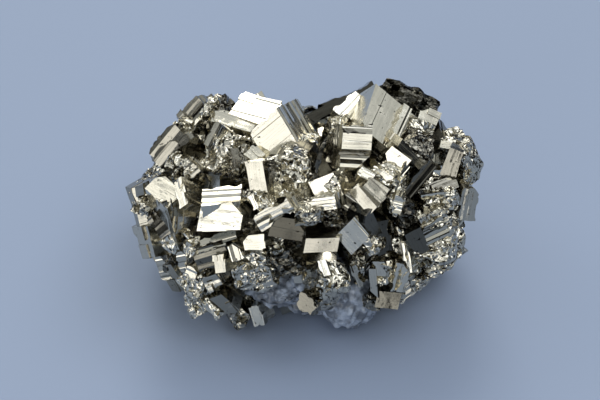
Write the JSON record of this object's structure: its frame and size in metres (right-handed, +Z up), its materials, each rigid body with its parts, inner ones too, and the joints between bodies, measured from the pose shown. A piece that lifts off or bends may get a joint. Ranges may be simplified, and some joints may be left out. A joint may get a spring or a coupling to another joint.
{
  "type": "pyrite quartz specimen",
  "caption": "Hand specimen of blocky metallic pyrite crystals grown together over milky quartz, cut flat underneath so that it stands on a shelf.",
  "frame": {"origin": "middle of the bounding box on the flat underside", "axes": "+Z up from the flat underside; the long side lies along X; -Y is the front, where the quartz shows"},
  "size_m": [0.0602, 0.0466, 0.0391],
  "materials": {
    "pyrite": "metallic, mirror-bright crystal faces with growth lines and rough druzy patches",
    "quartz": "milky, glassy, slightly translucent"
  },
  "bodies": {
    "root": {"pyrite_cluster": "pyrite", "quartz_matrix": "quartz"}
  },
  "joints": []
}
